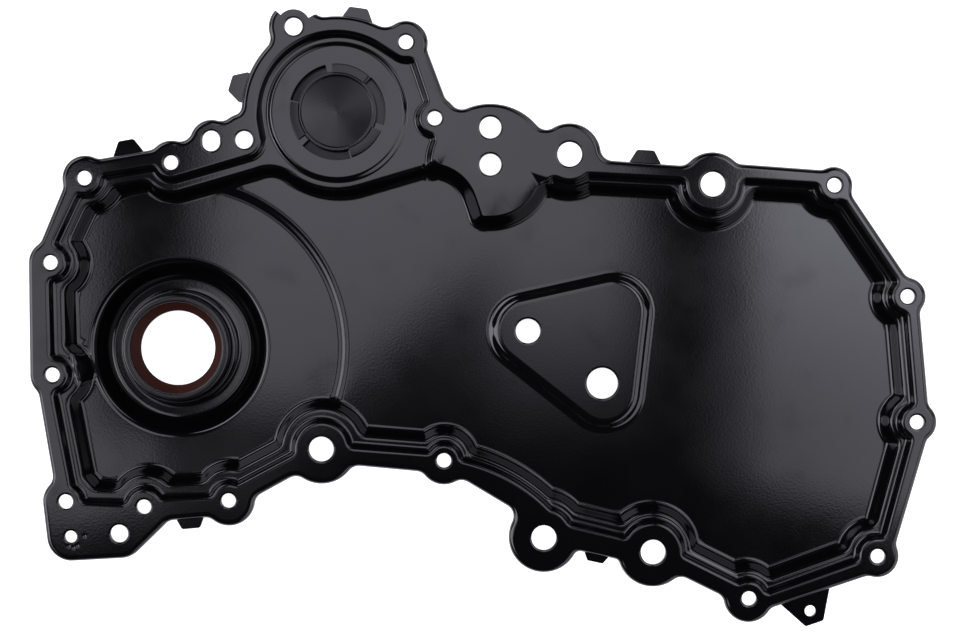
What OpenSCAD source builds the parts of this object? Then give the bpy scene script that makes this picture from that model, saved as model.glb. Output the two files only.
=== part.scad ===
// Timing chain cover: a pressed steel cover with a crankshaft seal and a turn-in access plug.
// Seen from the engine side (+Z). The origin is on the crank axis, at the edge of the seal's lip.

/* [Pressing] */
// Distance along X from the crank axis to the farthest bolt hole; every other place keeps its share of it
span = 360; // [352:1:368]
// Thickness of the steel sheet
sheet_t = 2; // [1.5:0.1:2.5]
// Height of the flange's mating face above the seal lip
flange_z = 9; // [6:0.5:12]
// Drop from the flange to the narrow ledge
step_1 = 3.5; // [2.5:0.1:4.5]
// Drop from the ledge to the main panel
step_2 = 7.5; // [5:0.1:10]
// Plan width of the wall from the flange to the ledge
wall_1 = 2.1; // [1.6:0.1:2.6]
// Plan width of the wall from the ledge to the panel
wall_2 = 3.8; // [3:0.1:4.4]
// Outside radius of the rolled outer edge
rim_r = 2.5; // [2.4:0.1:3]
// Depth of the rolled outer edge below the mating face
rim_h = 4.5; // [4.2:0.1:6]
// Distance of the trimmed edge from the locating hole over the plug
trim_r = 8.4; // [7.5:0.1:9]
// Radius of the fillets between the outline's lobes and its straight runs
rim_fillet = 6; // [4:0.5:7]
// Corner radius of the upper wall
corner_1 = 2.5; // [2.2:0.1:3]
// Corner radius of the lower wall
corner_2 = 3.5; // [3.2:0.1:4]

/* [Holes] */
// Diameter of the M6 bolt holes
bolt_d = 7; // [6.4:0.1:8]
// Diameter of the large bolt holes
large_d = 12; // [10:0.1:13]
// Diameter of the locating holes
dowel_d = 8.6; // [8:0.1:9]
// Extra height of the slotted locating hole
slot_extra = 1.4; // [0.5:0.1:2]
// Diameter of the two holes in the upper lobe
lobe_hole_d = 10.6; // [9:0.1:12]
// Diameter of the small corner hole
corner_hole_d = 5.8; // [5:0.1:7]
// Diameter of the hole in the hanging tab
tab_hole_d = 5.4; // [4:0.1:7]
// Diameter of the larger hole in the three-cornered pad
pad_large_d = 15.2; // [13:0.1:17]

/* [Three-cornered pad] */
// Height of the pad above the panel
pad_h = 3; // [2:0.1:4]
// Plan width of the pad's sloping side
pad_wall = 3; // [2:0.1:4]
// Corner radius half way up the pad's side
pad_corner = 17; // [14:0.5:20]

/* [Crank seal] */
// Radius of the shallow round recess about the crank
recess_r = 81; // [78:0.5:82]
// Depth of the shallow recess
recess_h = 1; // [0.5:0.1:1.5]
// Radius of the seal trough at the panel
trough_r = 43.5; // [42:0.1:44]
// Radius of the trough's flat floor
trough_floor_r = 35.5; // [34:0.1:37]
// Depth of the trough below the panel
trough_h = 9.3; // [7:0.1:11]
// Outside radius of the collar that holds the seal
collar_r = 28; // [27:0.1:29]
// Height of the collar above the trough floor
collar_h = 11; // [9:0.1:13]
// Inside radius of the seal's case
case_bore = 22.4; // [22:0.1:23]
// How far the seal's case stands above the collar
case_rise = 7.5; // [5:0.1:8]
// Radius of the shaft opening in the seal lip
lip_r = 18.2; // [17:0.1:20]
// Height of the lip's land
lip_h = 2; // [1.5:0.1:3]

/* [Access plug] */
// Radius of the raised seat round the plug
seat_r = 32.5; // [31:0.1:34]
// Height of the seat above the ledge
seat_h = 1.4; // [1:0.1:1.8]
// Radius of the hole that the plug's barrel passes through
plug_hole_r = 19.6; // [19.3:0.1:20]
// Radius of the slots that the plug's lugs pass through
slot_r = 23.6; // [23:0.1:24.4]
// Angle that each slot spans
slot_angle = 62; // [56:1:66]
// Clearance between the plug and the seat
plug_gap = 0.4; // [0.2:0.1:0.6]
// Height of the plug's lugs
lug_h = 1.9; // [1.5:0.1:2]
// Depth of the dish in the plug's inner end
dish_h = 1.6; // [1:0.1:2.2]
// Drop of the dish's cone from its edge to its middle
dish_cone = 1.4; // [0.5:0.1:2]
// Radius of the plug's outer cap
cap_r = 28; // [27.5:0.1:29]
// Thickness of the plug's outer cap
cap_h = 4; // [3:0.1:5]
// Height of the grip across the outside of the cap
grip_h = 5; // [3:0.5:6]
// Thickness of the grip
grip_t = 7; // [5:0.5:10]
// Thickness of the plug's sealing ring
ring_d = 2.6; // [2:0.1:3]

/* [Hidden] */
$fn = 96;
eps = 0.01;

// Largest distance between an outline's arc and the straight facets along it
facet_sag = 0.25;
// How far parts of one pressing run into each other
lap = 0.8;

// Places are given at the full size of the pattern, where the farthest bolt hole is at [360, -36]
function place(x, y) = [x, y] * span / 360;

// Bolt and locating holes, named anticlockwise from the top left corner
left_1 = place(-44, 82.5);
left_2 = place(-60.5, 41.5);
left_3 = place(-59.5, -13);
foot_1 = place(-53, -74.5);
foot_2 = place(-50.5, -91.5);
foot_3 = place(-27, -90);
foot_4 = place(-15, -77);
base_1 = place(26, -74);
base_2 = place(71, -49);
base_3 = place(130.5, -54.5);
base_4 = place(179, -92);
base_5 = place(232, -99);
base_6 = place(278.5, -121.5);
right_1 = place(341, -101);
right_2 = place(360, -36);
right_3 = place(355.5, 25);
right_4 = place(320, 79);
top_1 = place(261, 79.5);
top_2 = place(191.5, 94);
lobe_1 = place(153, 107);
lobe_2 = place(153, 89);
top_3 = place(126, 111.5);
top_4 = place(112, 148.5);
top_5 = place(57.5, 156);
dowel = place(33.5, 101);
slot = place(17.5, 100.5);
top_6 = place(-2, 90);
plug = place(78.5, 114.9);
// Far centre of the bend in the lower walls between the third and fourth holes of the base
bend = place(121, -138);

bolt_holes = [left_1, left_2, left_3, foot_1, foot_4, base_1, base_3, base_6,
    right_1, right_2, right_3, right_4, top_3, top_4, top_6];
large_holes = [base_2, base_4, base_5, top_1, top_2];

// Radius of the rim about the plug
plug_rim = 46.6;
// Outline lobes: centre, radius, then the link to the next lobe.
// A link is [] for a common tangent, [f] for one fillet, or [a, b] for a straight run that passes
// a and b outside the two centres, with an optional third value for its fillets.
rim_lobes = [
    [left_1, 11.2, [8.1, 8.5]],
    [left_2, 11, []],
    [left_3, 11.3, [8.6, 4.6]],
    [foot_1, 11.6, []],
    [foot_2, 12.1, []],
    [foot_3, 12.3, []],
    [foot_4, 13.2, [7.8, 7.6]],
    [base_1, 12.5, [4.8, 5]],
    [base_2, 17.1, [6.7, 6.7]],
    [base_3, 12, [3.3, -4.1]],
    [base_4, 17.1, [2.8, 7.5, 3]],
    [base_5, 17.1, [4.5, 4.8]],
    [base_6, 11.9, [8.2, 7.9]],
    [right_1, 10.6, [7.3, 7.5]],
    [right_2, 10, [6.7, 5.8]],
    [right_3, 9.3, [5.3, 4.6]],
    [right_4, 9.2, [7.2, 11]],
    [top_1, 15.8, [8.3, -1.4]],
    [top_2, 15.4, [rim_fillet]],
    [lobe_2, 29.9, [rim_fillet]],
    [top_3, 10.9, [8.3, 8.4]],
    [top_4, 10.7, [8]],
    [plug, plug_rim, [rim_fillet]],
    [top_5, 12.4, [rim_fillet]],
    [plug, plug_rim, [4]],
    [dowel, 13.3, [rim_fillet]],
    [slot, 10.6, [rim_fillet]],
    [top_6, 11, [8, 8.2]]
];

// Inner bosses: centre, radius at the upper wall, radius at the lower wall, then the link to the next boss.
// A run's third value is the distance from the upper wall to the lower one.
inner_bosses = [
    [top_6, 8.4, 16.1, [1, 0.7, 6.9]],
    [left_1, 8.3, 14.6, [0.7, -1.7, 6.8]],
    [left_2, 8.4, 14.8, [-0.4, 0, 7.6]],
    [left_3, 8.2, 15.3, [-0.7, 4.6, 7]],
    [foot_1, 7.9, 15, [0.2, 1.3, 7.5]],
    [foot_4, 9.1, 16.8, [3.9, 2.7, 7.7]],
    [base_1, 8.9, 16.7, [5.4, 4.5, 7.2]],
    [base_2, 13.8, 21.5, [2.5, 3.4, 6.9]],
    [base_3, 8.3, 14.4, []],
    [bend, 86, 90.6, []],
    [base_4, 14.5, 20.7, [9.7, 3.8, 7]],
    [base_5, 15, 20.8, [5.5, 4.8, 5.2]],
    [base_6, 9, 15, [-0.4, 1.6, 6.7]],
    [right_1, 9.5, 15.2, [-0.4, 0.8, 5.5]],
    [right_2, 8.2, 13.8, [0.9, 1.6, 5]],
    [right_3, 8.3, 13.2, [0.5, 1.2, 5.1]],
    [right_4, 8.4, 13, [0.6, -2.5, 5.4]],
    [top_1, 13.8, 19.5, [-1.1, 9.9, 5.7]],
    [top_2, 13.7, 18.8, []]
];

// Pry tabs: middle of the root, outward direction, width at the root and at the tip, length;
// two of them stand on the round rim about the plug
pry_tabs = [
    [place(-23, 93.9), 100, 15.5, 7.5, 7.4],
    [plug + [-45.9, 12.1], 163, 15, 8, 6.4],
    [plug + [9.5, 44.1], 82, 16, 9, 6.6],
    [place(228.3, 90), 87, 15.5, 8.5, 6.3],
    [place(7, -83.3), 275, 13, 8.7, 4.6],
    [place(204.6, -101), 258, 11.5, 7.7, 3.2]
];
// The longer tab with a hole in it, and the distance of the hole from the root
hang_tab = [place(306.3, -121), -71.2, 24.8, 9.3, 13.8];
hang_hole_at = 7.3;

// Corners of the three-cornered pad, at the centres of its rounded corners
pad_left = place(171.5, 8.2);
pad_top = place(213.5, 17.5);
pad_base = place(209, -21.5);
pad_large = place(207.9, -17.4);

// Heights, down from the flange
ledge_z = flange_z - step_1;
panel_z = ledge_z - step_2;
trough_z = panel_z - trough_h;
seat_z = ledge_z + seat_h;
// How far cutting solids run past the metal
over = 1;
under_z = trough_z - sheet_t - over;
// Plan shift of a wall's under side from its upper side, for an even sheet
function sheet_shift(width, height) = sheet_t * tan(atan2(height, width) / 2);
shift_1 = sheet_shift(wall_1, step_1);
shift_2 = sheet_shift(wall_2, step_2);
pad_shift = sheet_shift(pad_wall, pad_h);
trough_shift = sheet_shift(trough_r - trough_floor_r, trough_h);

// Crank seal
collar_z = trough_z + collar_h;
case_top = collar_z + case_rise;
case_r = collar_r - sheet_t;
case_foot = trough_z - sheet_t + 1;
case_wall = 1.4;
case_chamfer = 1;
case_lead = 0.6;
// Height of the case's head over the lip, and of the slope under it
head_h = 3;
head_slope = 1;
// Lead-in above the lip's land, and the drop of its skirt below it
lip_lead = [2, 1.5];
lip_skirt = 3;

// Access plug
seat_clear = 0.1;
barrel_r = plug_hole_r - plug_gap;
lug_r = slot_r - plug_gap;
lug_z = seat_z + seat_clear;
lug_angles = [72, 192, 312];
lug_span = 48;
slot_angles = [15, 135, 255];
barrel_wall = 1.6;
dish_r = barrel_r - barrel_wall;
dish_z = lug_z + lug_h - dish_h;
cap_z = seat_z - sheet_t - ring_d;
ring_clear = 0.6;
ring_r = slot_r + ring_clear + ring_d / 2;
grip_l = 1.6 * cap_r;

// Outlines are chains of circles [x, y, r] joined by their tangents, walked anticlockwise:
// a positive radius turns left round its centre, a negative one turns right.
function tangent_angle(a, b) =
    let (d = [b.x - a.x, b.y - a.y])
    atan2(d.y, d.x) - acos(max(-1, min(1, (a.z - b.z) / norm(d))));
// Length of the straight part between two circles; circles that touch have none
function straight(a, b) =
    sqrt(max(0, (b.x - a.x) ^ 2 + (b.y - a.y) ^ 2 - (a.z - b.z) ^ 2));
// Angle turned on a circle; a hair short of a whole turn is a hair of a turn back
whole_turn = 360;
nearly_whole = 330;
function swing(from, to, r) =
    let (a = r > 0 ? to - from : from - to, b = a - whole_turn * floor(a / whole_turn))
    sign(r) * (b > nearly_whole ? b - whole_turn : b);
function arc_step(r) = 2 * acos(1 - min(1, facet_sag / abs(r)));
function outline(chain, grow = 0) = [
    for (i = [0 : len(chain) - 1])
        let (c = chain[i],
            before = chain[(i + len(chain) - 1) % len(chain)],
            after = chain[(i + 1) % len(chain)],
            start = tangent_angle(before, c),
            turn = swing(start, tangent_angle(c, after), c.z),
            steps = max(1, ceil(abs(turn) / arc_step(c.z))))
        for (k = [0 : straight(c, after) > lap ? steps : steps - 1])
            let (a = start + turn * k / steps)
            [c.x + (c.z + grow) * cos(a), c.y + (c.z + grow) * sin(a)]
];

// Unit vector from a to b, and the normal to its right (side 1) or left (side -1)
function along(a, b) = (b - a) / norm(b - a);
function beside(u, side) = side * [u.y, -u.x];
// Fillet of radius f between a lobe and a straight run that passes w beside the lobe's centre
function run_fillet(c, r, u, n, w, f, way) =
    c + n * (w + f) + u * way * sqrt(max(0, (r + f) ^ 2 - (w + f) ^ 2));
// Fillet of radius f that touches two lobes
function lobe_fillet(a, ra, b, rb, f, side) =
    let (d = norm(b - a), u = along(a, b),
        t = ((ra + f) ^ 2 - (rb + f) ^ 2 + d ^ 2) / (2 * d))
    a + u * t + beside(u, side) * sqrt(max(0, (ra + f) ^ 2 - t ^ 2));
function ring(c, r) = [c.x, c.y, r];
// One lobe and its link to the next one; side is 1 for the outer edge and -1 for a wall inside it
function linked(a, ra, b, rb, link, f, side) =
    let (u0 = along(a, b), n0 = beside(u0, side))
    len(link) == 0 ? [ring(a, side * ra)] :
    len(link) == 1 ? [
        ring(a, side * ra),
        ring(lobe_fillet(a, ra, b, rb, link[0], side), -side * link[0])
    ] :
    let (u = along(a + n0 * link[0], b + n0 * link[1]),
        n = beside(u, side),
        c = n0 * n)
    [
        ring(a, side * ra),
        ring(run_fillet(a, ra, u, n, link[0] * c, f, 1), -side * f),
        ring(run_fillet(b, rb, u, n, link[1] * c, f, -1), -side * f)
    ];

rim_chain = [
    for (i = [0 : len(rim_lobes) - 1])
        let (a = rim_lobes[i], b = rim_lobes[(i + 1) % len(rim_lobes)])
        let (f = a[2][2] == undef ? rim_fillet : a[2][2])
        each linked(a[0], a[1], b[0], b[1], a[2], f, 1)
];
// Bosses of the wall at one level: column 1 is the upper wall and column 2 the lower one
function boss_chain(level, f) = [
    for (i = [0 : len(inner_bosses) - 2])
        let (a = inner_bosses[i], b = inner_bosses[i + 1],
            gap = level == 2 ? a[3][2] : 0,
            link = len(a[3]) == 0 ? [f] : [a[3][0] + gap, a[3][1] + gap])
        each linked(a[0], a[level], b[0], b[level], link, f, -1)
];
top_boss = inner_bosses[len(inner_bosses) - 1];
// The upper wall goes round the plug's seat; the lower one passes under it
lobe_wall_1 = 30;
lobe_wall_2 = 28.6;
plug_wall_1 = 37.8;
plug_wall_2 = 39.6;
dowel_wall_1 = 9;
dowel_wall_2 = 16.8;
top_wall_3 = 8.4;
top_wall_4 = 8.6;
top_run = [1.1, -0.2];
// The lower wall leaves the lobe round a tight nose and swings back up over a shoulder
nose_r = 5;
nose_angle = 263;
nose_out = 0.2;
nose = lobe_2 + (lobe_wall_2 - nose_r + nose_out) * [cos(nose_angle), sin(nose_angle)];
shoulder = place(123.5, 66);
shoulder_r = 20;
valley_r = 15;
upper_wall = concat(
    boss_chain(1, corner_1),
    linked(top_boss[0], top_boss[1], lobe_2, lobe_wall_1, [corner_1], corner_1, -1),
    linked(lobe_2, lobe_wall_1, top_3, top_wall_3, [corner_1], corner_1, -1),
    linked(top_3, top_wall_3, top_4, top_wall_4, top_run, corner_1, -1),
    [ring(top_4, -top_wall_4), ring(plug, plug_wall_1), ring(dowel, -dowel_wall_1)]);
lower_wall = concat(
    boss_chain(2, corner_2),
    linked(top_boss[0], top_boss[2], lobe_2, lobe_wall_2, [corner_2], corner_2, -1),
    [ring(lobe_2, -lobe_wall_2), ring(nose, -nose_r), ring(shoulder, shoulder_r)],
    linked(plug, plug_wall_2, dowel, dowel_wall_2, [valley_r], valley_r, -1),
    [ring(dowel, -dowel_wall_2)]);
pad_chain = [ring(pad_left, pad_corner), ring(pad_base, pad_corner), ring(pad_top, pad_corner)];

// A closed band that follows an outline; its section is a list of [distance outside the outline, z]
module band(chain, section) {
    rows = [for (s = section) [for (p = outline(chain, s[0])) [p.x, p.y, s[1]]]];
    n = len(rows[0]);
    m = len(rows);
    polyhedron([for (row = rows) each row], [
        for (r = [0 : m - 1], i = [0 : n - 1])
            let (j = (i + 1) % n, q = (r + 1) % m)
            [r * n + i, r * n + j, q * n + j, q * n + i]
    ]);
}

// A solid with sloping sides: its outline grows from `low` at z0 to `high` at z1
module drafted(chain, low, high, z0, z1) {
    lift(z0) linear_extrude(z1 - z0) polygon(outline(chain, low));
    band(chain, [[low - lap, z0], [low - lap, z1], [high, z1], [low, z0]]);
}

// The space inside a pressed wall, from its floor up past the flange
module wall_space(chain, width, height, floor_z, grow, top_z) {
    low = grow - width / 2;
    drafted(chain, low, low + (top_z - floor_z) * width / height, floor_z, top_z);
}

module flat(z, t, inset) {
    lift(z) linear_extrude(t) polygon(outline(rim_chain, -inset));
}

module at(p, z = 0) {
    translate([p.x, p.y, z]) children();
}

module lift(z) {
    translate([0, 0, z]) children();
}

module drill(p, d) {
    at(p, under_z) cylinder(d = d, h = flange_z - under_z + over);
}

// The flange's outer edge, rolled down all round
module rolled_rim() {
    mid = rim_r * (1 - cos(45));
    band(rim_chain, [
        [-rim_r - lap, flange_z], [-rim_r, flange_z], [-mid, flange_z - mid], [0, flange_z - rim_r],
        [0, flange_z - rim_h], [-sheet_t, flange_z - rim_h], [-sheet_t, flange_z - sheet_t],
        [-rim_r - lap, flange_z - sheet_t]
    ]);
}

// The part of the rim that is cut away over the plug's locating hole
trim_from = 30;
trim_span = 108;
module rim_trim() {
    at(top_5, flange_z - rim_h - over) rotate(trim_from) rotate_extrude(angle = trim_span)
        translate([trim_r, 0]) square([rim_r + rim_h, rim_h + 2 * over]);
}

module tab_plate(tab) {
    at(tab[0], flange_z - rim_h) rotate(tab[1]) linear_extrude(sheet_t)
        polygon([[-sheet_t, -tab[2] / 2], [0, -tab[2] / 2], [tab[4], -tab[3] / 2],
            [tab[4], tab[3] / 2], [0, tab[2] / 2], [-sheet_t, tab[2] / 2]]);
}

// The shallow round recess about the crank, bounded by the lower wall
module crank_recess(z, grow) {
    r = recess_r + grow;
    intersection() {
        lift(z) cylinder(r1 = r - recess_h, r2 = r + recess_h, h = recess_h + eps);
        lift(z) linear_extrude(recess_h + over) polygon(outline(lower_wall, grow - wall_2 / 2));
    }
}

module trough_cone(z, grow, rise) {
    slope = (trough_r - trough_floor_r) / trough_h;
    r = trough_floor_r + grow;
    lift(z) cylinder(r1 = r, r2 = r + slope * rise, h = rise);
}

module outer_form() {
    flat(flange_z - sheet_t, sheet_t, rim_r);
    rolled_rim();
    for (tab = pry_tabs) tab_plate(tab);
    tab_plate(hang_tab);
    wall_space(upper_wall, wall_1, step_1, ledge_z - sheet_t, shift_1, flange_z - sheet_t);
    wall_space(lower_wall, wall_2, step_2, panel_z - sheet_t, shift_2, flange_z - sheet_t);
    crank_recess(panel_z - recess_h - sheet_t, shift_2);
    trough_cone(trough_z - sheet_t, trough_shift, trough_h);
}

module inner_form() {
    wall_space(upper_wall, wall_1, step_1, ledge_z, 0, flange_z + over);
    wall_space(lower_wall, wall_2, step_2, panel_z, 0, flange_z + over);
    crank_recess(panel_z - recess_h, 0);
    trough_cone(trough_z, 0, trough_h + over);
}

module three_cornered_pad(z, grow, rise) {
    mirror([0, 0, 1])
        drafted(pad_chain, grow - pad_wall / 2, grow + pad_wall / 2, -z - rise, -z);
}

module slot_sector(angle, r, h) {
    rotate(angle - slot_angle / 2) rotate_extrude(angle = slot_angle) square([r, h]);
}

module plug_opening() {
    at(plug, under_z) {
        cylinder(r = plug_hole_r, h = flange_z - under_z);
        for (a = slot_angles) slot_sector(a, slot_r, flange_z - under_z);
    }
}

module seat_cone(z, inset) {
    r = seat_r - inset;
    at(plug, z - eps) cylinder(r1 = r + seat_h, r2 = r, h = seat_h + eps);
}

module pressed_cover() color("#1b1c1e") difference() {
    union() {
        difference() {
            outer_form();
            inner_form();
        }
        three_cornered_pad(panel_z - lap, 0, pad_h + lap);
        seat_cone(ledge_z, 0);
        lift(trough_z - eps) cylinder(r = collar_r, h = collar_h + eps);
    }
    three_cornered_pad(panel_z - sheet_t - over, -pad_shift, pad_h + over);
    seat_cone(ledge_z - sheet_t, sheet_t / 2);
    plug_opening();
    lift(under_z) cylinder(r = case_r, h = flange_z - under_z);
    for (p = bolt_holes) drill(p, bolt_d);
    for (p = large_holes) drill(p, large_d);
    for (p = [lobe_1, lobe_2]) drill(p, lobe_hole_d);
    drill(pad_left, large_d);
    drill(pad_large, pad_large_d);
    for (p = [top_5, dowel, foot_3]) drill(p, dowel_d);
    for (s = [-1, 1]) drill(slot + [0, s * slot_extra / 2], dowel_d);
    rim_trim();
    drill(foot_2, corner_hole_d);
    at(hang_tab[0]) rotate(hang_tab[1]) drill([hang_hole_at, 0], tab_hole_d);
}

module seal_case() color("#222325") rotate_extrude() polygon([
    [case_r, case_foot], [case_r, case_top - case_chamfer], [case_r - case_chamfer, case_top],
    [case_bore + case_lead, case_top], [case_bore, case_top - case_lead], [case_bore, case_top - head_h],
    [case_r - case_wall, case_top - head_h - head_slope], [case_r - case_wall, case_foot]
]);

module seal_lip() color("#6b3f33") rotate_extrude() polygon([
    [case_bore, case_top - head_h], [lip_r + lip_lead.x, lip_h / 2 + lip_lead.y],
    [lip_r, lip_h / 2], [lip_r, -lip_h / 2],
    [case_bore, -lip_h / 2 - lip_skirt], [case_r - case_wall, -lip_h / 2 - lip_skirt],
    [case_r - case_wall, case_top - head_h - head_slope]
]);

// The dish is a shallow cone below its edge
module dish() rotate_extrude() polygon([
    [0, dish_z - dish_cone], [dish_r, dish_z], [dish_r, dish_z + dish_h + over], [0, dish_z + dish_h + over]
]);

module lug(angle) {
    lift(lug_z) rotate(angle - lug_span / 2) rotate_extrude(angle = lug_span) square([lug_r, lug_h]);
}

module access_plug() color("#202123") at(plug) difference() {
    union() {
        lift(cap_z - cap_h) cylinder(r = cap_r, h = cap_h);
        lift(cap_z - cap_h - grip_h) linear_extrude(grip_h + eps)
            square([grip_l, grip_t], center = true);
        lift(cap_z - eps) cylinder(r = barrel_r, h = lug_z + lug_h - cap_z + eps);
        for (a = lug_angles) lug(a);
    }
    dish();
}

module plug_ring() color("#151515") at(plug, cap_z + ring_d / 2)
    rotate_extrude() translate([ring_r, 0]) circle(d = ring_d - 2 * eps);

pressed_cover();
seal_case();
seal_lip();
access_plug();
plug_ring();
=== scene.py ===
import math

import bmesh
import bpy
import numpy as np
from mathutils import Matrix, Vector
from mathutils.geometry import delaunay_2d_cdt


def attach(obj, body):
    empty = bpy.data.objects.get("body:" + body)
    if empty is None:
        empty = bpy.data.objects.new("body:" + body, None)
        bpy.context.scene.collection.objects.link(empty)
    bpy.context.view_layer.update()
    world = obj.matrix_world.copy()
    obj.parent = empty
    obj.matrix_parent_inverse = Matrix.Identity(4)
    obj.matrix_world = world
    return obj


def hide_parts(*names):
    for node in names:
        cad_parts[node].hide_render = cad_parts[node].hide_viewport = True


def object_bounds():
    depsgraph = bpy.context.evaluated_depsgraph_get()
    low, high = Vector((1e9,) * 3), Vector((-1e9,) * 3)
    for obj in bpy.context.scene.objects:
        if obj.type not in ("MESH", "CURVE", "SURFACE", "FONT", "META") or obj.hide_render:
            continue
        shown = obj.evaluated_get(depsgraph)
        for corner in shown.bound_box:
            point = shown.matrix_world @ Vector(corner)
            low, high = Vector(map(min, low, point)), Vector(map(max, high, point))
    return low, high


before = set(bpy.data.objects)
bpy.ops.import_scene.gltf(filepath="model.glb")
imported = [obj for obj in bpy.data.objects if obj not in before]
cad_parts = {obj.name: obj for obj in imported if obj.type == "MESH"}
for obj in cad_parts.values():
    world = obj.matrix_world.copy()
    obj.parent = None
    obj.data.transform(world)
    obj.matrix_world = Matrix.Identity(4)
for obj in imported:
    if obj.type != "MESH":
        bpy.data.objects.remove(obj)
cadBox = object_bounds()
mm = 0.001
print("frame loaded")


def linear(hexColour):
    parts = [int(hexColour[i:i + 2], 16) / 255 for i in (1, 3, 5)]
    return tuple(c / 12.92 if c <= 0.04045 else ((c + 0.055) / 1.055) ** 2.4 for c in parts) + (1.0,)


# Adds one node, sets its values and makes its links
def addNode(tree, kind, settings=None, values=None, links=None):
    node = tree.nodes.new(kind)
    for key, value in (settings or {}).items():
        setattr(node, key, value)
    for key, value in (values or {}).items():
        node.inputs[key].default_value = value
    for key, source in (links or {}).items():
        tree.links.new(source, node.inputs[key])
    return node


# Hole and lobe centres of the pressing, in mm from the crank axis, named anticlockwise from the top left
spot = {
    "left1": (-44, 82.5), "left2": (-60.5, 41.5), "left3": (-59.5, -13),
    "foot1": (-53, -74.5), "foot2": (-50.5, -91.5), "foot3": (-27, -90), "foot4": (-15, -77),
    "base1": (26, -74), "base2": (71, -49), "base3": (130.5, -54.5), "base4": (179, -92),
    "base5": (232, -99), "base6": (278.5, -121.5),
    "right1": (341, -101), "right2": (360, -36), "right3": (355.5, 25), "right4": (320, 79),
    "top1": (261, 79.5), "top2": (191.5, 94), "lobe1": (153, 107), "lobe2": (153, 89),
    "top3": (126, 111.5), "top4": (112, 148.5), "top5": (57.5, 156), "dowel": (33.5, 101),
    "slot": (17.5, 100.5), "top6": (-2, 90), "plug": (78.5, 114.9), "bend": (121, -138),
}
spot = {name: np.array(place, float) for name, place in spot.items()}

# The pressing: heights in mm from the seal lip, wall widths in plan, and how far each bend is rounded
pressing = {
    "sheet": 2.0, "flangeZ": 9.0, "step1": 3.5, "step2": 7.5, "wall1": 2.1, "wall2": 3.8,
    "rimR": 2.5, "rimH": 4.5, "rimFillet": 6.0, "corner1": 2.5, "corner2": 3.5,
    "bend1": 0.7, "bend2": 1.05, "bendBlend": 2.0,
    "padH": 3.0, "padWall": 3.0, "padCorner": 17.0, "padBend": 1.6,
    "recessR": 81.0, "recessH": 1.0, "recessWall": 3.4,
    "troughR": 43.5, "troughFloorR": 35.5, "troughH": 9.3, "troughBend": 1.8,
    "collarR": 28.0, "collarH": 11.0, "collarFoot": 2.6,
    "seatR": 32.5, "seatH": 1.4, "seatWall": 1.4, "seatBend": 0.6,
    "holeRound": 0.35,
}
p = pressing
ledgeZ = p["flangeZ"] - p["step1"]
panelZ = ledgeZ - p["step2"]
troughZ = panelZ - p["troughH"]
seatZ = ledgeZ + p["seatH"]


# Outlines are chains of circles (x, y, r) joined by tangents, walked anticlockwise:
# a positive radius turns left round its centre and a negative one turns right
def tangentAngle(a, b):
    dx, dy = b[0] - a[0], b[1] - a[1]
    return math.atan2(dy, dx) - math.acos(max(-1, min(1, (a[2] - b[2]) / math.hypot(dx, dy))))


def straightLength(a, b):
    return math.sqrt(max(0, (b[0] - a[0]) ** 2 + (b[1] - a[1]) ** 2 - (a[2] - b[2]) ** 2))


# Points of an outline grown by some distance; arcs are stepped finely and straight runs coarsely
def outline(chain, grow=0.0, arcStep=1.3, runStep=4.0):
    points = []
    count = len(chain)
    for i, circle in enumerate(chain):
        before, after = chain[i - 1], chain[(i + 1) % count]
        start, end = tangentAngle(before, circle), tangentAngle(circle, after)
        turn = (end - start if circle[2] > 0 else start - end) % math.tau
        if turn > math.radians(330):
            turn -= math.tau
        turn *= math.copysign(1, circle[2])
        steps = max(1, math.ceil(abs(turn) * max(abs(circle[2]), 4.0) / arcStep))
        r = circle[2] + grow
        for k in range(steps + 1):
            a = start + turn * k / steps
            points.append((circle[0] + r * math.cos(a), circle[1] + r * math.sin(a)))
        run = straightLength(circle, after)
        if run < 0.8:
            points.pop()
            continue
        pieces = max(1, math.ceil(run / runStep))
        heading = end + math.pi / 2
        ax, ay = points[-1]
        for k in range(1, pieces):
            points.append((ax + math.cos(heading) * run * k / pieces, ay + math.sin(heading) * run * k / pieces))
    return np.array(points)


def along(a, b):
    return (b - a) / np.linalg.norm(b - a)


def beside(u, side):
    return side * np.array([u[1], -u[0]])


def ring(c, r):
    return (float(c[0]), float(c[1]), float(r))


def runFillet(c, r, u, n, w, f, way):
    return c + n * (w + f) + u * way * math.sqrt(max(0, (r + f) ** 2 - (w + f) ** 2))


def lobeFillet(a, ra, b, rb, f, side):
    d = np.linalg.norm(b - a)
    u = along(a, b)
    t = ((ra + f) ** 2 - (rb + f) ** 2 + d * d) / (2 * d)
    return a + u * t + beside(u, side) * math.sqrt(max(0, (ra + f) ** 2 - t * t))


# One lobe and its link to the next: nothing for a tangent, one fillet, or a straight run with two fillets
def linked(a, ra, b, rb, link, f, side):
    if len(link) == 0:
        return [ring(a, side * ra)]
    if len(link) == 1:
        return [ring(a, side * ra), ring(lobeFillet(a, ra, b, rb, link[0], side), -side * link[0])]
    n0 = beside(along(a, b), side)
    u = along(a + n0 * link[0], b + n0 * link[1])
    n = beside(u, side)
    c = float(n0 @ n)
    return [ring(a, side * ra),
            ring(runFillet(a, ra, u, n, link[0] * c, f, 1), -side * f),
            ring(runFillet(b, rb, u, n, link[1] * c, f, -1), -side * f)]


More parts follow.
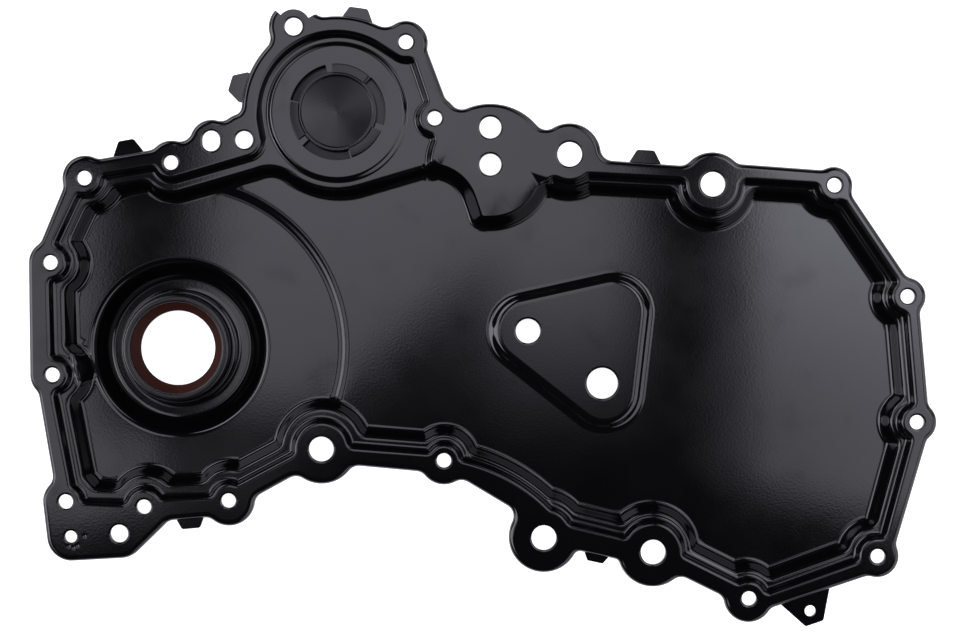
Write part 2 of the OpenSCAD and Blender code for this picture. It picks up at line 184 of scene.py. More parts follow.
fillet = p["rimFillet"]
rimLobes = [
    ("left1", 11.2, (8.1, 8.5)), ("left2", 11, ()), ("left3", 11.3, (8.6, 4.6)), ("foot1", 11.6, ()),
    ("foot2", 12.1, ()), ("foot3", 12.3, ()), ("foot4", 13.2, (7.8, 7.6)), ("base1", 12.5, (4.8, 5)),
    ("base2", 17.1, (6.7, 6.7)), ("base3", 12, (3.3, -4.1)), ("base4", 17.1, (2.8, 7.5, 3)),
    ("base5", 17.1, (4.5, 4.8)), ("base6", 11.9, (8.2, 7.9)), ("right1", 10.6, (7.3, 7.5)),
    ("right2", 10, (6.7, 5.8)), ("right3", 9.3, (5.3, 4.6)), ("right4", 9.2, (7.2, 11)),
    ("top1", 15.8, (8.3, -1.4)), ("top2", 15.4, (fillet,)), ("lobe2", 29.9, (fillet,)),
    ("top3", 10.9, (8.3, 8.4)), ("top4", 10.7, (8,)), ("plug", 46.6, (fillet,)),
    ("top5", 12.4, (fillet,)), ("plug", 46.6, (4,)), ("dowel", 13.3, (fillet,)),
    ("slot", 10.6, (fillet,)), ("top6", 11, (8, 8.2)),
]
innerBosses = [
    ("top6", 8.4, 16.1, (1, 0.7, 6.9)), ("left1", 8.3, 14.6, (0.7, -1.7, 6.8)),
    ("left2", 8.4, 14.8, (-0.4, 0, 7.6)), ("left3", 8.2, 15.3, (-0.7, 4.6, 7)),
    ("foot1", 7.9, 15, (0.2, 1.3, 7.5)), ("foot4", 9.1, 16.8, (3.9, 2.7, 7.7)),
    ("base1", 8.9, 16.7, (5.4, 4.5, 7.2)), ("base2", 13.8, 21.5, (2.5, 3.4, 6.9)),
    ("base3", 8.3, 14.4, ()), ("bend", 86, 90.6, ()), ("base4", 14.5, 20.7, (9.7, 3.8, 7)),
    ("base5", 15, 20.8, (5.5, 4.8, 5.2)), ("base6", 9, 15, (-0.4, 1.6, 6.7)),
    ("right1", 9.5, 15.2, (-0.4, 0.8, 5.5)), ("right2", 8.2, 13.8, (0.9, 1.6, 5)),
    ("right3", 8.3, 13.2, (0.5, 1.2, 5.1)), ("right4", 8.4, 13, (0.6, -2.5, 5.4)),
    ("top1", 13.8, 19.5, (-1.1, 9.9, 5.7)), ("top2", 13.7, 18.8, ()),
]
rimChain = []
for i, (name, r, link) in enumerate(rimLobes):
    nextName, nextR, _ = rimLobes[(i + 1) % len(rimLobes)]
    ownFillet = link[2] if len(link) == 3 else fillet
    rimChain += linked(spot[name], r, spot[nextName], nextR, link[:2], ownFillet, 1)


# Bosses of one wall: level 0 is the upper wall and level 1 the lower one
def bossChain(level, f):
    chain = []
    for here, after in zip(innerBosses, innerBosses[1:]):
        gap = here[3][2] if level and here[3] else 0
        link = (here[3][0] + gap, here[3][1] + gap) if here[3] else (f,)
        chain += linked(spot[here[0]], here[1 + level], spot[after[0]], after[1 + level], link, f, -1)
    return chain


plugPlace, lobePlace = spot["plug"], spot["lobe2"]
c1, c2 = p["corner1"], p["corner2"]
noseR, lobeWall1, lobeWall2 = 5.0, 30.0, 28.6
nose = lobePlace + (lobeWall2 - noseR + 0.2) * np.array([math.cos(math.radians(263)), math.sin(math.radians(263))])
upperWall = bossChain(0, c1)
upperWall += linked(spot["top2"], 13.7, lobePlace, lobeWall1, (c1,), c1, -1)
upperWall += linked(lobePlace, lobeWall1, spot["top3"], 8.4, (c1,), c1, -1)
upperWall += linked(spot["top3"], 8.4, spot["top4"], 8.6, (1.1, -0.2), c1, -1)
upperWall += [ring(spot["top4"], -8.6), ring(plugPlace, 37.8), ring(spot["dowel"], -9)]
lowerWall = bossChain(1, c2)
lowerWall += linked(spot["top2"], 18.8, lobePlace, lobeWall2, (c2,), c2, -1)
lowerWall += [ring(lobePlace, -lobeWall2), ring(nose, -noseR), (123.5, 66.0, 20.0)]
lowerWall += linked(plugPlace, 39.6, spot["dowel"], 16.8, (15.0,), 15.0, -1)
lowerWall += [ring(spot["dowel"], -16.8)]
padChain = [(171.5, 8.2, p["padCorner"]), (209, -21.5, p["padCorner"]), (213.5, 17.5, p["padCorner"])]
print("outlines ready")


# Distance of points inside a closed outline (negative outside), signed by how often a level ray crosses it
def insideDistance(points, loop):
    a, b = loop, np.roll(loop, -1, axis=0)
    ab = b - a
    length2 = np.maximum((ab ** 2).sum(1), 1e-12)
    slope = ab[:, 0] / np.where(ab[:, 1] == 0, 1, ab[:, 1])
    result = np.empty(len(points))
    for start in range(0, len(points), 3000):
        batch = points[start:start + 3000, None, :]
        q = batch - a
        t = np.clip((q * ab).sum(2) / length2, 0, 1)
        nearest = np.sqrt(((q - t[..., None] * ab) ** 2).sum(2).min(1))
        crossed = ((a[:, 1] > batch[..., 1]) != (b[:, 1] > batch[..., 1])) & (q[..., 0] < q[..., 1] * slope)
        result[start:start + 3000] = np.where(crossed.sum(1) % 2 == 1, nearest, -nearest)
    return result


# A ramp from 0 to 1 between x0 and x1 with its two corners rounded over +-bend
def ramp(x, x0, x1, bend):
    bend = min(bend, (x1 - x0) / 2)

    def hinge(d):
        return np.where(d < -bend, 0, np.where(d > bend, d, (d + bend) ** 2 / (4 * bend)))
    return (hinge(x - x0) - hinge(x - x1)) / (x1 - x0)


# The lower of two heights with a rounded ridge where they cross
def blendMin(a, b, k):
    h = np.maximum(k - np.abs(a - b), 0) / k
    return np.minimum(a, b) - h * h * k / 4


def sheetShift(width, height):
    return p["sheet"] * math.tan(math.atan2(height, width) / 2)


fineRim, fineUpper = outline(rimChain), outline(upperWall)
fineLower, finePad = outline(lowerWall), outline(padChain)


# Heights of the pressing's upper face, or its under face when under is 1
def sheetHeight(points, rimD, upperD, lowerD, padD, under):
    t = p["sheet"] * under
    r = np.hypot(points[:, 0], points[:, 1])
    plugR = np.hypot(points[:, 0] - plugPlace[0], points[:, 1] - plugPlace[1])
    s1, s2 = sheetShift(p["wall1"], p["step1"]) * under, sheetShift(p["wall2"], p["step2"]) * under
    sp = sheetShift(p["padWall"], p["padH"]) * under
    st = sheetShift(p["troughR"] - p["troughFloorR"], p["troughH"]) * under
    seat = p["seatH"] * (1 - ramp(plugR, p["seatR"] - under, p["seatR"] - under + p["seatWall"], p["seatBend"]))
    upper = p["flangeZ"] - t - p["step1"] * ramp(upperD + s1, -p["wall1"] / 2, p["wall1"] / 2, p["bend1"]) + seat
    # The lower wall's slope runs on past the flange's height, so that only the ledge cuts it off
    drop = p["step1"] + p["step2"] + 2 * p["bendBlend"]
    full = p["wall2"] * drop / p["step2"]
    lower = panelZ + drop - t - drop * ramp(lowerD + s2, p["wall2"] / 2 - full, p["wall2"] / 2, p["bend2"])
    floorOf = ramp(lowerD + s2, -p["wall2"] / 2, p["wall2"] / 2, p["bend2"])
    recess = 1 - ramp(r, p["recessR"] - p["recessWall"] / 2, p["recessR"] + p["recessWall"] / 2, 1.6)
    lower = lower - p["recessH"] * recess * floorOf
    lower = lower + p["padH"] * ramp(padD - sp, -p["padWall"] / 2, p["padWall"] / 2, p["padBend"])
    # So does the trough's cone, to three times its own height
    reach = 3 * (p["troughR"] - p["troughFloorR"])
    cone = ramp(r - st, p["troughFloorR"], p["troughFloorR"] + reach, p["troughBend"])
    trough = troughZ - t + 3 * p["troughH"] * cone
    z = blendMin(upper, lower, p["bendBlend"])
    z = blendMin(z, trough, p["bendBlend"])
    if under:
        return np.where(rimD < p["sheet"], p["flangeZ"] - p["rimH"], z)
    u = np.clip(p["rimR"] - rimD, 0, p["rimR"])
    return z - (p["rimR"] - np.sqrt(p["rimR"] ** 2 - u * u))


def circlePoints(c, r, count, start=0.0):
    a = start + np.arange(count) * math.tau / count
    return np.stack([c[0] + r * np.cos(a), c[1] + r * np.sin(a)], 1)


# Holes: centre, radius and for the slotted one half its extra height
holes = [(spot[n], 3.5, 0) for n in ("left1", "left2", "left3", "foot1", "foot4", "base1", "base3", "base6",
                                     "right1", "right2", "right3", "right4", "top3", "top4", "top6")]
holes += [(spot[n], 6.0, 0) for n in ("base2", "base4", "base5", "top1", "top2")]
holes += [(spot[n], 5.3, 0) for n in ("lobe1", "lobe2")]
holes += [(spot[n], 4.3, 0) for n in ("top5", "dowel", "foot3")]
holes += [(spot["slot"], 4.3, 0.7), (spot["foot2"], 2.9, 0)]
holes += [(np.array([171.5, 8.2]), 6.0, 0), (np.array([207.9, -17.4]), 7.6, 0)]


# Small punched dots by the corner hole
dots = {"r": 0.55, "depth": 0.22, "at": ((-51.4, -96.0), (-49.2, -96.8), (-47.2, -95.8), (-43.8, -91.1))}


# How far points are outside the nearest of the holes (negative within one)
def outsideHoles(points):
    nearest = np.full(len(points), 99.0)
    for c, r, extra in holes:
        d = points - c
        rise = np.maximum(np.abs(d[:, 1]) - extra, 0)
        nearest = np.minimum(nearest, np.hypot(d[:, 0], rise) - r)
    return nearest


def holeLoop(c, r, extra, grow):
    count = max(28, int(math.tau * r / 0.9))
    loop = circlePoints((0, 0), r + grow, count)
    loop[:, 1] += np.where(loop[:, 1] > 0, extra, -extra)
    return loop + c


plugHole = {"holeR": 19.6, "slotR": 23.6, "slotAngle": 62, "slotsAt": (15, 135, 255)}


def plugHoleRadius(angleDeg):
    inSlot = [abs((angleDeg - a + 180) % 360 - 180) <= plugHole["slotAngle"] / 2 for a in plugHole["slotsAt"]]
    return plugHole["slotR"] if any(inSlot) else plugHole["holeR"]


# The bayonet opening's edge: two points at each slot end make its straight side
def plugHoleLoop(grow):
    points = []
    for a in plugHole["slotsAt"]:
        low, high = a - plugHole["slotAngle"] / 2, a + plugHole["slotAngle"] / 2
        tilt = math.degrees(grow / plugHole["slotR"])
        points += [(plugHole["slotR"] + grow, v) for v in np.linspace(low - tilt, high + tilt, 24)]
        points += [(plugHole["holeR"] + grow, v) for v in np.linspace(high + tilt, low + 120 - tilt, 22)]
    return np.array([(plugPlace[0] + r * math.cos(math.radians(v)), plugPlace[1] + r * math.sin(math.radians(v)))
                     for r, v in points])


trim = {"r": 8.4, "from": 30, "to": 138, "reach": 14.0}


def inTrim(points):
    d = points - spot["top5"]
    angle = np.degrees(np.arctan2(d[:, 1], d[:, 0]))
    return (np.hypot(d[:, 0], d[:, 1]) > trim["r"]) & (angle > trim["from"]) & (angle < trim["to"])


# The bands of rings that follow the bends: signed distance from the bend's line, ring at an offset, offsets
def bendBands():
    def outlineBand(chain, loop, offsets):
        return (lambda q: -insideDistance(q, loop), lambda g: outline(chain, g), offsets)

    def roundBand(c, r, count, offsets):
        return (lambda q: np.hypot(q[:, 0] - c[0], q[:, 1] - c[1]) - r,
                lambda g: circlePoints(c, r + g, count), offsets)

    roll = [-p["rimR"] * (1 - math.cos(math.radians(a))) for a in (15, 30, 45, 60, 75, 90)]
    return [
        outlineBand(rimChain, fineRim, roll + [-p["sheet"] - 0.04, -p["rimR"] - 0.7]),
        outlineBand(upperWall, fineUpper, (-2.5, -1.8, -1.4, -1.05, -0.7, -0.3, 0.3, 0.7, 1.05, 1.4, 1.8, 2.5)),
        roundBand(plugPlace, p["seatR"] + p["seatWall"] / 2, 150, (-2.2, -1.6, -1.1, -0.6, 0, 0.6, 1.1, 1.6, 2.2)),
        roundBand((0, 0), p["troughFloorR"], 220, (-3.2, -2.4, -1.6, -0.8, 0, 0.8, 1.6, 2.4, 4, 5.6, 6.4, 7.2, 8,
                                                   8.8, 9.6, 10.4)),
        outlineBand(lowerWall, fineLower, (-3.9, -3.0, -2.6, -2.2, -1.8, -1.3, -0.8, 0,
                                           0.8, 1.3, 1.8, 2.2, 2.6, 3.0, 3.9)),
        outlineBand(padChain, finePad, (-4, -3.1, -2.3, -1.5, -0.7, 0, 0.7, 1.5, 2.3, 3.1, 4)),
        roundBand((0, 0), p["recessR"], 320, (-3.7, -3, -2.3, -1.6, -0.9, -0.3, 0.3, 0.9, 1.6, 2.3, 3, 3.7)),
    ]


# Builds the pressing as one closed sheet: rings of points along every bend, joined by a triangulation
def buildSheet():
    collarFoot = p["collarR"] + p["collarFoot"]
    opening = plugHoleLoop(0)
    loops = [fineRim, circlePoints((0, 0), collarFoot, 160), opening]
    loops += [holeLoop(c, r, extra, 0) for c, r, extra in holes]
    sweep = np.radians(np.linspace(trim["from"], trim["to"], 26))
    arc = spot["top5"] + trim["r"] * np.stack([np.cos(sweep), np.sin(sweep)], 1)
    tips = [spot["top5"] + trim["reach"] * np.array([math.cos(a), math.sin(a)]) for a in (sweep[0], sweep[-1])]

    # A ring gives way where it folds, where it meets a band laid before it, and at the holes
    def inSheet(q, room):
        inside = (np.hypot(q[:, 0], q[:, 1]) > collarFoot + room) & (outsideHoles(q) > room)
        return inside & (insideDistance(q, fineRim) > 0.02) & (insideDistance(q, opening) < -room)

    strands, laid = [], []
    for distance, ringAt, offsets in bendBands():
        for offset in offsets:
            ring = ringAt(offset)
            good = (np.abs(distance(ring) - offset) < 0.08) & inSheet(ring, 0.25)
            for other, low, high in laid:
                away = other(ring)
                good &= (away < low - 0.3) | (away > high + 0.3)
            strands.append((ring, good, True))
        laid.append((distance, min(offsets), max(offsets)))
    for c, r, extra in holes:
        for grow in (p["holeRound"], 3 * p["holeRound"]):
            ring = holeLoop(c, r, extra, grow)
            strands.append((ring, inSheet(ring, 0.3 * p["holeRound"]), True))
    for place in dots["at"]:
        for grow in (0.35, 0.8, 1.3, 1.8, 2.4, 3.2):
            ring = circlePoints(place, dots["r"] * grow, 14)
            strands.append((ring, np.full(len(ring), True), True))
    trimPath = np.vstack([tips[0][None], arc, tips[1][None]])
    strands.append((trimPath, np.full(len(trimPath), True), False))
    xs, ys = np.meshgrid(np.arange(-70, 372, 11.0), np.arange(-134, 170, 11.0))
    scatter = np.stack([xs.ravel() + (np.arange(xs.size) // xs.shape[1] % 2) * 5.5, ys.ravel()], 1)
    scatterGood = inSheet(scatter, 3)
    for other, low, high in laid:
        away = other(scatter)
        scatterGood &= (away < low - 2.5) | (away > high + 2.5)

    points, edges = [], []
    for ring, good, closed in [(loop, np.full(len(loop), True), True) for loop in loops] + strands:
        place = np.cumsum(good) - 1 + len(points)
        for k in range(len(ring) if closed else len(ring) - 1):
            after = (k + 1) % len(ring)
            if good[k] and good[after]:
                edges.append((int(place[k]), int(place[after])))
        points += [tuple(v) for v in ring[good]]
    points += [tuple(v) for v in scatter[scatterGood]]
    flat, _, triangles, *_ = delaunay_2d_cdt([Vector(v) for v in points], edges, [], 0, 1e-4, False)
    flat = np.array([tuple(v) for v in flat])
    triangles = np.array([t for t in triangles if len(t) == 3])
    centre = flat[triangles].mean(1)
    keep = (insideDistance(centre, fineRim) > 0) & ~inTrim(centre)
    keep &= np.hypot(centre[:, 0], centre[:, 1]) > collarFoot - 0.02
    keep &= outsideHoles(centre) > -0.02
    keep &= insideDistance(centre, plugHoleLoop(0)) < 0
    triangles = triangles[keep]
    used, triangles = np.unique(triangles, return_inverse=True)
    triangles = triangles.reshape(-1, 3)
    flat = flat[used]
    print("sheet triangulated:", len(flat), "points", len(triangles), "triangles")

    distances = [insideDistance(flat, loop) for loop in (fineRim, fineUpper, fineLower, finePad)]
    top = sheetHeight(flat, *distances, 0)
    bottom = sheetHeight(flat, *distances, 1)
    near = np.minimum(np.abs(outsideHoles(flat)), np.abs(insideDistance(flat, plugHoleLoop(0))))
    lip = np.clip(1 - near / p["holeRound"], 0, 1)
    top = top - p["holeRound"] * 0.6 * lip * lip  # a slight roll at each punched edge
    for place in dots["at"]:
        top = top - dots["depth"] * np.exp(-((flat - place) ** 2).sum(1) / dots["r"] ** 2)
    count = len(flat)
    verts = np.vstack([np.column_stack([flat, top]), np.column_stack([flat, bottom])]) * mm
    a, b, c = triangles.T
    area = ((flat[b, 0] - flat[a, 0]) * (flat[c, 1] - flat[a, 1])
            - (flat[b, 1] - flat[a, 1]) * (flat[c, 0] - flat[a, 0]))
    triangles = np.where((area > 0)[:, None], triangles, triangles[:, ::-1])
    seen = {(t[i], t[(i + 1) % 3]): True for t in triangles for i in range(3)}
    border = [e for e in seen if (e[1], e[0]) not in seen]
    faces = [tuple(t) for t in triangles] + [tuple(t[::-1] + count) for t in triangles]
    faces += [(e[1], e[0], e[0] + count, e[1] + count) for e in border]
    return verts, faces


# Tabs on the rim: middle of the root, outward direction, width at root and tip, length, hole (distance, radius)
tabs = [
    ((-23, 93.9), 100, 15.5, 7.5, 7.4, None), ((32.6, 127), 163, 15, 8, 6.4, None),
    ((88, 159), 82, 16, 9, 6.6, None), ((228.3, 90), 87, 15.5, 8.5, 6.3, None),
    ((7, -83.3), 275, 13, 8.7, 4.6, None), ((204.6, -101), 258, 11.5, 7.7, 3.2, None),
    ((306.3, -121), -71.2, 24.8, 9.3, 13.8, (7.3, 2.7)),
]


# One tab as a plate with rounded corners, and a round hole where it has one
def tabPlate(tab):
    place, turn, root, tip, length, hole = tab
    outer = [(-p["sheet"], -root / 2), (0, -root / 2)]
    r = min(1.6, length / 3)
    for side in (-1, 1):
        corner = np.array([length - r, side * (tip / 2 - r * 0.6)])
        for a in np.linspace(0, 70, 6) if side > 0 else np.linspace(-70, 0, 6):
            outer.append((corner[0] + r * math.cos(math.radians(a)), corner[1] + r * math.sin(math.radians(a))))
    outer += [(0, root / 2), (-p["sheet"], root / 2)]
    points = [Vector(v) for v in outer]
    edges = [(k, (k + 1) % len(outer)) for k in range(len(outer))]
    if hole:
        circle = circlePoints((hole[0], 0), hole[1], 36)
        edges += [(len(outer) + k, len(outer) + (k + 1) % 36) for k in range(36)]
        points += [Vector(v) for v in circle]
    flat, _, triangles, *_ = delaunay_2d_cdt(points, edges, [], 0, 1e-4, False)
    flat = np.array([tuple(v) for v in flat])
    triangles = np.array([t for t in triangles if len(t) == 3])
    centre = flat[triangles].mean(1)
    keep = insideDistance(centre, np.array(outer)) > 0
    if hole:
        keep &= np.hypot(centre[:, 0] - hole[0], centre[:, 1]) > hole[1] * 0.995
    triangles = triangles[keep]
    c, s = math.cos(math.radians(turn)), math.sin(math.radians(turn))
    flat = np.stack([place[0] + c * flat[:, 0] - s * flat[:, 1], place[1] + s * flat[:, 0] + c * flat[:, 1]], 1)
    low = p["flangeZ"] - p["rimH"]
    count = len(flat)
    verts = np.vstack([np.column_stack([flat, np.full(count, low + p["sheet"])]),
                       np.column_stack([flat, np.full(count, low)])]) * mm
    seen = {(t[i], t[(i + 1) % 3]) for t in triangles for i in range(3)}
    faces = [tuple(t) for t in triangles] + [tuple(t[::-1] + count) for t in triangles]
    faces += [(e[1], e[0], e[0] + count, e[1] + count) for e in seen if (e[1], e[0]) not in seen]
    return verts, faces


# Rounds the corners of a lathe profile given as (r, z, corner radius)
def roundedProfile(corners, steps=5, closed=True):
    result = []
    count = len(corners)
    for i, (r, z, f) in enumerate(corners):
        here = np.array([r, z])
        if f <= 0 or (not closed and i in (0, count - 1)):
            result.append((r, z))
            continue
        toBefore = np.array(corners[i - 1][:2]) - here
        toAfter = np.array(corners[(i + 1) % count][:2]) - here
        reach = min(f, 0.45 * np.linalg.norm(toBefore), 0.45 * np.linalg.norm(toAfter))
        a = here + toBefore / np.linalg.norm(toBefore) * reach
        b = here + toAfter / np.linalg.norm(toAfter) * reach
        for k in range(steps + 1):
            t = k / steps
            result.append(tuple((1 - t) ** 2 * a + 2 * t * (1 - t) * here + t * t * b))
    return result


# Turns a closed profile about a vertical axis
def turned(profile, place=(0, 0), segments=180):
    angles = np.arange(segments) * math.tau / segments
    rows = [np.stack([place[0] + r * np.cos(angles), place[1] + r * np.sin(angles), np.full(segments, z)], 1)
            for r, z in profile]
    faces = []
    count = len(rows)
    for i in range(count):
        j = (i + 1) % count
        faces += [(i * segments + k, i * segments + (k + 1) % segments,
                   j * segments + (k + 1) % segments, j * segments + k) for k in range(segments)]
    return np.vstack(rows) * mm, faces


# Makes one object of several vertex and face lists, with smooth shading that breaks at sharp edges
def makePiece(name, parts, material, sharpAngle=38):
    mesh = bpy.data.meshes.new(name)
    verts, faces = [], []
    for v, f in parts:
        offset = len(verts)
        verts += [tuple(q) for q in v]
        faces += [tuple(int(i) + offset for i in face) for face in f]
    mesh.from_pydata(verts, [], faces)
    tidy = bmesh.new()
    tidy.from_mesh(mesh)
    bmesh.ops.recalc_face_normals(tidy, faces=tidy.faces)
    tidy.to_mesh(mesh)
    tidy.free()
    mesh.shade_smooth()
    mesh.set_sharp_from_angle(angle=math.radians(sharpAngle))
    mesh.materials.append(material)
    piece = bpy.data.objects.new(name, mesh)
    bpy.context.scene.collection.objects.link(piece)
    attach(piece, "root")
    return piece


# Satin black paint, sprayed on pressed steel: dark, with a soft sheen, a fine orange peel and faint smudges
paintLook = {"colour": "#050506", "roughness": 0.055, "peelMm": 1.1, "peelDepthMm": 0.007,
             "smudgeMm": 24.0, "dullSheen": 0.45}


def satinBlackPaint():
    material = bpy.data.materials.new("satinBlackPaint")
    material.use_nodes = True
    tree = material.node_tree
    shader = tree.nodes["Principled BSDF"]
    shader.inputs["Base Color"].default_value = linear(paintLook["colour"])
    shader.inputs["IOR"].default_value = 1.5
    place = addNode(tree, "ShaderNodeTexCoord").outputs["Object"]
    smudge = addNode(tree, "ShaderNodeTexNoise", {}, {"Scale": 1 / (paintLook["smudgeMm"] * mm), "Detail": 4.0},
                     {"Vector": place})
    rough = addNode(tree, "ShaderNodeMapRange", {},
                    {"From Min": 0.3, "From Max": 0.75, "To Min": paintLook["roughness"],
                     "To Max": paintLook["roughness"] + 0.04}, {"Value": smudge.outputs["Fac"]})
    tree.links.new(rough.outputs["Result"], shader.inputs["Roughness"])
    dull = addNode(tree, "ShaderNodeMapRange", {"interpolation_type": "SMOOTHSTEP"},
                   {"From Min": 0.58, "From Max": 0.72, "To Min": 0.5, "To Max": paintLook["dullSheen"]},
                   {"Value": smudge.outputs["Fac"]})
    tree.links.new(dull.outputs["Result"], shader.inputs["Specular IOR Level"])
    peel = addNode(tree, "ShaderNodeTexNoise", {}, {"Scale": 1 / (paintLook["peelMm"] * mm), "Detail": 2.0},
                   {"Vector": place})
    bump = addNode(tree, "ShaderNodeBump", {}, {"Strength": 1.0, "Distance": paintLook["peelDepthMm"] * mm},
                   {"Height": peel.outputs["Fac"]})
    tree.links.new(bump.outputs["Normal"], shader.inputs["Normal"])
    return material


# Moulded nitrile rubber on the seal's case: black, slightly shiny, with a faint bloom
caseLook = {"colour": "#070708", "roughness": 0.26, "sheen": 0.42, "grainMm": 0.9, "grainDepthMm": 0.004}
# Moulded fluoro rubber of the lip: reddish brown and dull, with fine turned lines
lipLook = {"colour": "#2c0f07", "roughness": 0.6, "sheen": 0.12, "grainMm": 0.7, "grainDepthMm": 0.01}
# Glass-filled nylon of the plug: black going grey, satin, with fine turned lines
plugLook = {"colour": "#0a0a0b", "roughness": 0.24, "sheen": 0.42, "grainMm": 0.8, "grainDepthMm": 0.006}
# Nitrile rubber of the plug's ring: black and matt
ringLook = {"colour": "#0a0a0a", "roughness": 0.6, "sheen": 0.4, "grainMm": 0.6, "grainDepthMm": 0.005}


def mouldedSurface(name, look):
    material = bpy.data.materials.new(name)
    material.use_nodes = True
    tree = material.node_tree
    shader = tree.nodes["Principled BSDF"]
    place = addNode(tree, "ShaderNodeTexCoord").outputs["Object"]
    grain = addNode(tree, "ShaderNodeTexNoise", {}, {"Scale": 1 / (look["grainMm"] * mm), "Detail": 3.0},
                    {"Vector": place})
    bloom = addNode(tree, "ShaderNodeTexNoise", {}, {"Scale": 1 / (12 * mm), "Detail": 4.0}, {"Vector": place})
    shader.inputs["Specular IOR Level"].default_value = look["sheen"]
    base = linear(look["colour"])
    tint = addNode(tree, "ShaderNodeMix", {"data_type": "RGBA"},
                   {"A": tuple(0.8 * c for c in base[:3]) + (1,), "B": tuple(1.3 * c for c in base[:3]) + (1,)},
                   {"Factor": bloom.outputs["Fac"]})
    tree.links.new(tint.outputs["Result"], shader.inputs["Base Color"])
    rough = addNode(tree, "ShaderNodeMapRange", {}, {"To Min": look["roughness"] - 0.05,
                                                     "To Max": look["roughness"] + 0.08},
                    {"Value": bloom.outputs["Fac"]})
    tree.links.new(rough.outputs["Result"], shader.inputs["Roughness"])
    bump = addNode(tree, "ShaderNodeBump", {}, {"Strength": 1.0, "Distance": look["grainDepthMm"] * mm},
                   {"Height": grain.outputs["Fac"]})
    tree.links.new(bump.outputs["Normal"], shader.inputs["Normal"])
    return material


paint = satinBlackPaint()
collarZ = troughZ + p["collarH"]
foot = p["collarR"] + p["collarFoot"]
collarProfile = roundedProfile([
    (foot, troughZ, 0), (p["collarR"], troughZ, p["collarFoot"]), (p["collarR"], collarZ, 0.9),
    (p["collarR"] - p["sheet"], collarZ, 0.6), (p["collarR"] - p["sheet"], troughZ - p["sheet"], 1.2),
    (foot, troughZ - p["sheet"], 0)])
sheetParts = [buildSheet(), turned(collarProfile)] + [tabPlate(tab) for tab in tabs]
coverPiece = makePiece("pressedCover", sheetParts, paint)
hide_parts("pressed_cover")
print("pressing built")

# The crank seal: radii and heights in mm
seal = {"caseR": 26.0, "bore": 22.4, "wall": 1.4, "rise": 7.5, "lipR": 18.2, "lipH": 2.0}
caseTop = collarZ + seal["rise"]
caseFoot = troughZ - p["sheet"] + 1
caseIn = seal["caseR"] - seal["wall"]
caseProfile = roundedProfile([
    (seal["caseR"], caseFoot, 0.3), (seal["caseR"], caseTop, 1.6), (seal["bore"], caseTop, 1.0),
    (seal["bore"], caseTop - 3, 0.2), (caseIn, caseTop - 4, 0.2), (caseIn, caseFoot, 0.3)])
casePiece = makePiece("sealCase", [turned(caseProfile)], mouldedSurface("nitrileRubber", caseLook))
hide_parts("seal_case")
lipHalf = seal["lipH"] / 2
lipProfile = roundedProfile([
    (seal["bore"], caseTop - 3, 0.3), (seal["lipR"] + 2, lipHalf + 1.5, 0.5), (seal["lipR"], lipHalf, 0.4),
    (seal["lipR"], -lipHalf, 0.3), (seal["bore"], -lipHalf - 3, 0.4), (caseIn, -lipHalf - 3, 0.3),
    (caseIn, caseTop - 4, 0.1)])
lipPiece = makePiece("sealLip", [turned(lipProfile)], mouldedSurface("fluoroRubber", lipLook))
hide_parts("seal_lip")
print("seal built")

# The access plug: a barrel with a dished end, three lugs over the seat and a capped outside with a grip
plugForm = {"barrelR": 19.2, "lugR": 23.2, "lugH": 1.9, "lugsAt": (72, 192, 312), "lugSpan": 48,
            "dishR": 17.6, "dishH": 1.6, "dishCone": 1.4, "capR": 28.0, "capH": 4.0, "gripH": 5.0, "gripT": 7.0,
            "ringD": 2.6}
lugZ = seatZ + 0.1
lugTop = lugZ + plugForm["lugH"]
capZ = seatZ - p["sheet"] - plugForm["ringD"]


def plugLug(angle):
    half = plugForm["lugSpan"] / 2
    sweep = np.radians(np.linspace(angle - half, angle + half, 26))
    section = roundedProfile([(plugForm["barrelR"] - 0.8, lugZ, 0), (plugForm["lugR"], lugZ, 0.3),
                              (plugForm["lugR"], lugTop, 0.5), (plugForm["barrelR"] - 0.8, lugTop, 0)], 4)
    rows = [[(plugPlace[0] + r * math.cos(a), plugPlace[1] + r * math.sin(a), z) for r, z in section]
            for a in sweep]
    n = len(section)
    faces = [(i * n + k, (i + 1) * n + k, (i + 1) * n + (k + 1) % n, i * n + (k + 1) % n)
             for i in range(len(rows) - 1) for k in range(n)]
    faces += [tuple(range(n)), tuple(range((len(rows) - 1) * n, len(rows) * n))[::-1]]
    return np.array([v for row in rows for v in row]) * mm, faces


def plugGrip():
    halfX, halfY = 0.8 * plugForm["capR"], plugForm["gripT"] / 2
    top, low = capZ - plugForm["capH"] + 0.5, capZ - plugForm["capH"] - plugForm["gripH"]
    corners = ((-1, -1), (1, -1), (1, 1), (-1, 1))
    verts = [(plugPlace[0] + sx * halfX, plugPlace[1] + sy * halfY, top) for sx, sy in corners]
    verts += [(plugPlace[0] + sx * (halfX - 1), plugPlace[1] + sy * (halfY - 0.6), low + 1) for sx, sy in corners]
    verts += [(plugPlace[0] + sx * (halfX - 2), plugPlace[1] + sy * (halfY - 1.6), low) for sx, sy in corners]
    faces = [(3, 2, 1, 0), (8, 9, 10, 11)]
    for row in (0, 4):
        faces += [(row + k, row + (k + 1) % 4, row + 4 + (k + 1) % 4, row + 4 + k) for k in range(4)]
    return np.array(verts) * mm, faces


